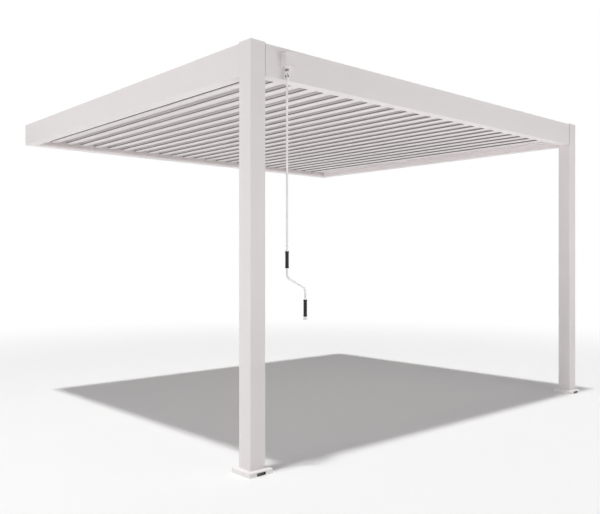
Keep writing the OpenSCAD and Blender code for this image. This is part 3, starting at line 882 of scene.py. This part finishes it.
class PERGOLA_OT_wall_plugs(bpy.types.Operator):
    """Model the snap-in plugs that close the access holes of the wall fixings"""

    bl_idname = "pergola.wall_plugs"
    bl_label = "Wall fixing plugs"

    def execute(self, context):
        sizes = context.scene.pergola.fittings
        plug_r = sizes.plug_d / 2
        pairs = [mount for name, mount in MOUNTS.items() if name.endswith("wall_bolts")]
        spans = [mount["dims"]["spacing_x_mm"] * MM for mount in pairs]
        step, reach = min(spans), max(spans)
        axis = Vector((-reach / 2, 0, 0))
        plug = disc(plug_r, sizes.plug_t, Vector((axis.x, WALL_FACE - sizes.plug_t / 2, 0)), sides=40)
        edit(plug)
        pick_faces(plug, lambda middle, normal: normal.y < -FACING)
        bpy.ops.mesh.inset(thickness=sizes.plug_rim)
        bpy.ops.mesh.inset(thickness=sizes.plug_dish, depth=-sizes.plug_dish)
        rim = WALL_FACE - sizes.plug_t
        pick_edges(plug, lambda end: abs(end.y - rim) < TINY and from_axis(end, axis) > ON_RIM * plug_r)
        bpy.ops.mesh.bevel(offset=sizes.round_edge, segments=3)
        leave_edit()
        repeat(plug, round(reach / step) + 1, (step, 0, 0))
        complete(plug, "wall_fixing_plugs", "frame", "nylon")
        return {"FINISHED"}


def seen_rays(tree):
    """One for the rays that show the background: to the camera, off gloss and through glass."""
    path = put(tree, "ShaderNodeLightPath").outputs
    seen = path["Is Camera Ray"]
    for other in ("Is Glossy Ray", "Is Transmission Ray"):
        seen = put(tree, "ShaderNodeMath", {"operation": "MAXIMUM"}, {0: seen, 1: path[other]}).outputs[0]
    return seen


def stage_floor(sizes, middle):
    """A pale floor that keeps the shadow and fades to white far away."""
    floor = start(bpy.ops.mesh.primitive_plane_add, size=sizes.floor_w, location=(0, 0, GROUND))
    floor.name = "floor"
    material, tree, place = blank("pale_floor")
    centre = put(
        tree,
        "ShaderNodeMapping",
        sockets={"Vector": place, "Location": (-middle.x, -middle.y, 0)},
    )
    away = put(tree, "ShaderNodeVectorMath", {"operation": "LENGTH"}, {0: centre.outputs[0]})
    fade = put(
        tree,
        "ShaderNodeMapRange",
        {"interpolation_type": "SMOOTHSTEP"},
        {"Value": away.outputs["Value"], "From Min": sizes.fade_from, "From Max": sizes.fade_to},
    )
    share = put(tree, "ShaderNodeMath", {"operation": "MULTIPLY"}, {0: fade.outputs[0], 1: seen_rays(tree)})
    matt = put(tree, "ShaderNodeBsdfDiffuse", sockets={"Color": sizes.floor_pale})
    white = put(tree, "ShaderNodeEmission", sockets={"Color": WHITE, "Strength": 1})
    mix = put(
        tree,
        "ShaderNodeMixShader",
        sockets={0: share.outputs[0], 1: matt.outputs[0], 2: white.outputs[0]},
    )
    put(tree, "ShaderNodeOutputMaterial", sockets={"Surface": mix.outputs[0]})
    floor.data.materials.append(material)


def stage_world(sizes):
    """A dome, brighter overhead, that the camera and mirrored rays see as white."""
    world = bpy.data.worlds.new("studio")
    bpy.context.scene.world = world
    world.use_nodes = True
    tree = world.node_tree
    tree.nodes.clear()
    towards = put(tree, "ShaderNodeTexCoord").outputs["Generated"]
    height = put(tree, "ShaderNodeSeparateXYZ", sockets={0: towards})
    dome = put(
        tree,
        "ShaderNodeMapRange",
        sockets={"Value": height.outputs["Z"], "To Min": sizes.horizon, "To Max": sizes.zenith},
    )
    level = put(
        tree,
        "ShaderNodeMapRange",
        sockets={"Value": seen_rays(tree), "To Min": dome.outputs[0], "To Max": 1},
    )
    light = put(tree, "ShaderNodeBackground", sockets={"Color": WHITE, "Strength": level.outputs[0]})
    put(tree, "ShaderNodeOutputWorld", sockets={"Surface": light.outputs[0]})


def lamp(name, kind, place, aim, **settings):
    """A lamp that looks from its place towards a point, unseen by the camera."""
    light = bpy.data.lights.new(name, kind)
    for key, value in settings.items():
        setattr(light, key, value)
    holder = bpy.data.objects.new(name, light)
    bpy.context.scene.collection.objects.link(holder)
    holder.location = place
    holder.rotation_euler = (aim - place).to_track_quat("-Z", "Y").to_euler()
    holder.visible_camera = False


def stage_lamps(sizes, middle):
    """A soft key overhead, two cards on the floor and two soft boxes."""
    lean = Vector((-math.tan(sizes.key_lean), 0, 1))
    lamp("key", "SUN", lean, Vector(), energy=sizes.sun, angle=sizes.key_soft)
    under = Vector((middle.x, middle.y, GROUND + sizes.card_lift))
    card = {"shape": "SQUARE", "size": sizes.bounce_w, "spread": sizes.bounce_spread}
    lamp("bounce", "AREA", under, under + UP, energy=sizes.bounce, **card)
    ahead = Vector((middle.x, -sizes.glow_place, GROUND + sizes.card_lift))
    card = {"shape": "RECTANGLE", "size": sizes.glow_w, "size_y": sizes.glow_d, "spread": sizes.glow_spread}
    lamp("glow", "AREA", ahead, ahead + UP, energy=sizes.glow, **card)
    soft_box = {"shape": "RECTANGLE", "size": sizes.box_w, "size_y": sizes.box_h}
    box_z = GROUND + sizes.box_h / 2
    side = Vector((-sizes.side_place, middle.y, box_z))
    lamp("side", "AREA", side, side + RIGHT, energy=sizes.side, **soft_box)
    front = Vector((sizes.front_right, -sizes.front_place, box_z))
    lamp("front", "AREA", front, front + BACK, energy=sizes.front, **soft_box)


def stage_camera(sizes):
    """A level camera with a vertical shift, at the photograph's viewing angle."""
    eye = bpy.data.cameras.new("camera")
    eye.lens = sizes.camera_lens
    eye.sensor_width = sizes.camera_sensor
    eye.shift_y = sizes.camera_rise
    camera = bpy.data.objects.new("camera", eye)
    bpy.context.scene.collection.objects.link(camera)
    camera.location = sizes.camera_place
    camera.rotation_euler = (QUARTER_TURN, 0, -sizes.camera_turn)
    bpy.context.scene.camera = camera


class PERGOLA_OT_stage(bpy.types.Operator):
    """Set the floor, the lights and the camera"""

    bl_idname = "pergola.stage"
    bl_label = "Studio stage"

    def execute(self, context):
        sizes = context.scene.pergola.stage
        context.scene.view_settings.view_transform = "Standard"
        middle = (CAD_BOX[0] + CAD_BOX[1]) / 2
        stage_floor(sizes, middle)
        stage_world(sizes)
        stage_lamps(sizes, middle)
        stage_camera(sizes)
        return {"FINISHED"}


OPERATORS = (
    PERGOLA_OT_coat_frame,
    PERGOLA_OT_pivot_bushes,
    PERGOLA_OT_bar_clips,
    PERGOLA_OT_cap_screws,
    PERGOLA_OT_louvre_seals,
    PERGOLA_OT_joint_seals,
    PERGOLA_OT_crank_trim,
    PERGOLA_OT_drain_spouts,
    PERGOLA_OT_wall_plugs,
    PERGOLA_OT_stage,
)


class PERGOLA_PT_dressing(bpy.types.Panel):
    """The pergola's dressing, in the order it is made"""

    bl_idname = "PERGOLA_PT_dressing"
    bl_label = "Pergola"
    bl_space_type = "VIEW_3D"
    bl_region_type = "UI"
    bl_category = "Pergola"

    def draw(self, context):
        settings = context.scene.pergola
        for group in (settings.finishes, settings.fittings, settings.stage):
            box = self.layout.box()
            for key in group.__annotations__:
                box.prop(group, key)
        for operator in OPERATORS:
            self.layout.operator(operator.bl_idname)


CLASSES = (PergolaFinishes, PergolaFittings, PergolaStage, PergolaSettings, *OPERATORS, PERGOLA_PT_dressing)


def register():
    """Registers the classes and puts the settings on the scene."""
    for kind in CLASSES:
        bpy.utils.register_class(kind)
    bpy.types.Scene.pergola = PointerProperty(type=PergolaSettings)


def unregister():
    """Takes the settings and the classes away again."""
    del bpy.types.Scene.pergola
    for kind in reversed(CLASSES):
        bpy.utils.unregister_class(kind)


def main():
    register()
    bpy.ops.pergola.coat_frame()
    bpy.ops.pergola.pivot_bushes()
    bpy.ops.pergola.bar_clips()
    bpy.ops.pergola.cap_screws()
    bpy.ops.pergola.louvre_seals()
    bpy.ops.pergola.joint_seals()
    bpy.ops.pergola.crank_trim()
    bpy.ops.pergola.drain_spouts()
    bpy.ops.pergola.wall_plugs()
    bpy.ops.pergola.stage()


if __name__ == "__main__":
    main()
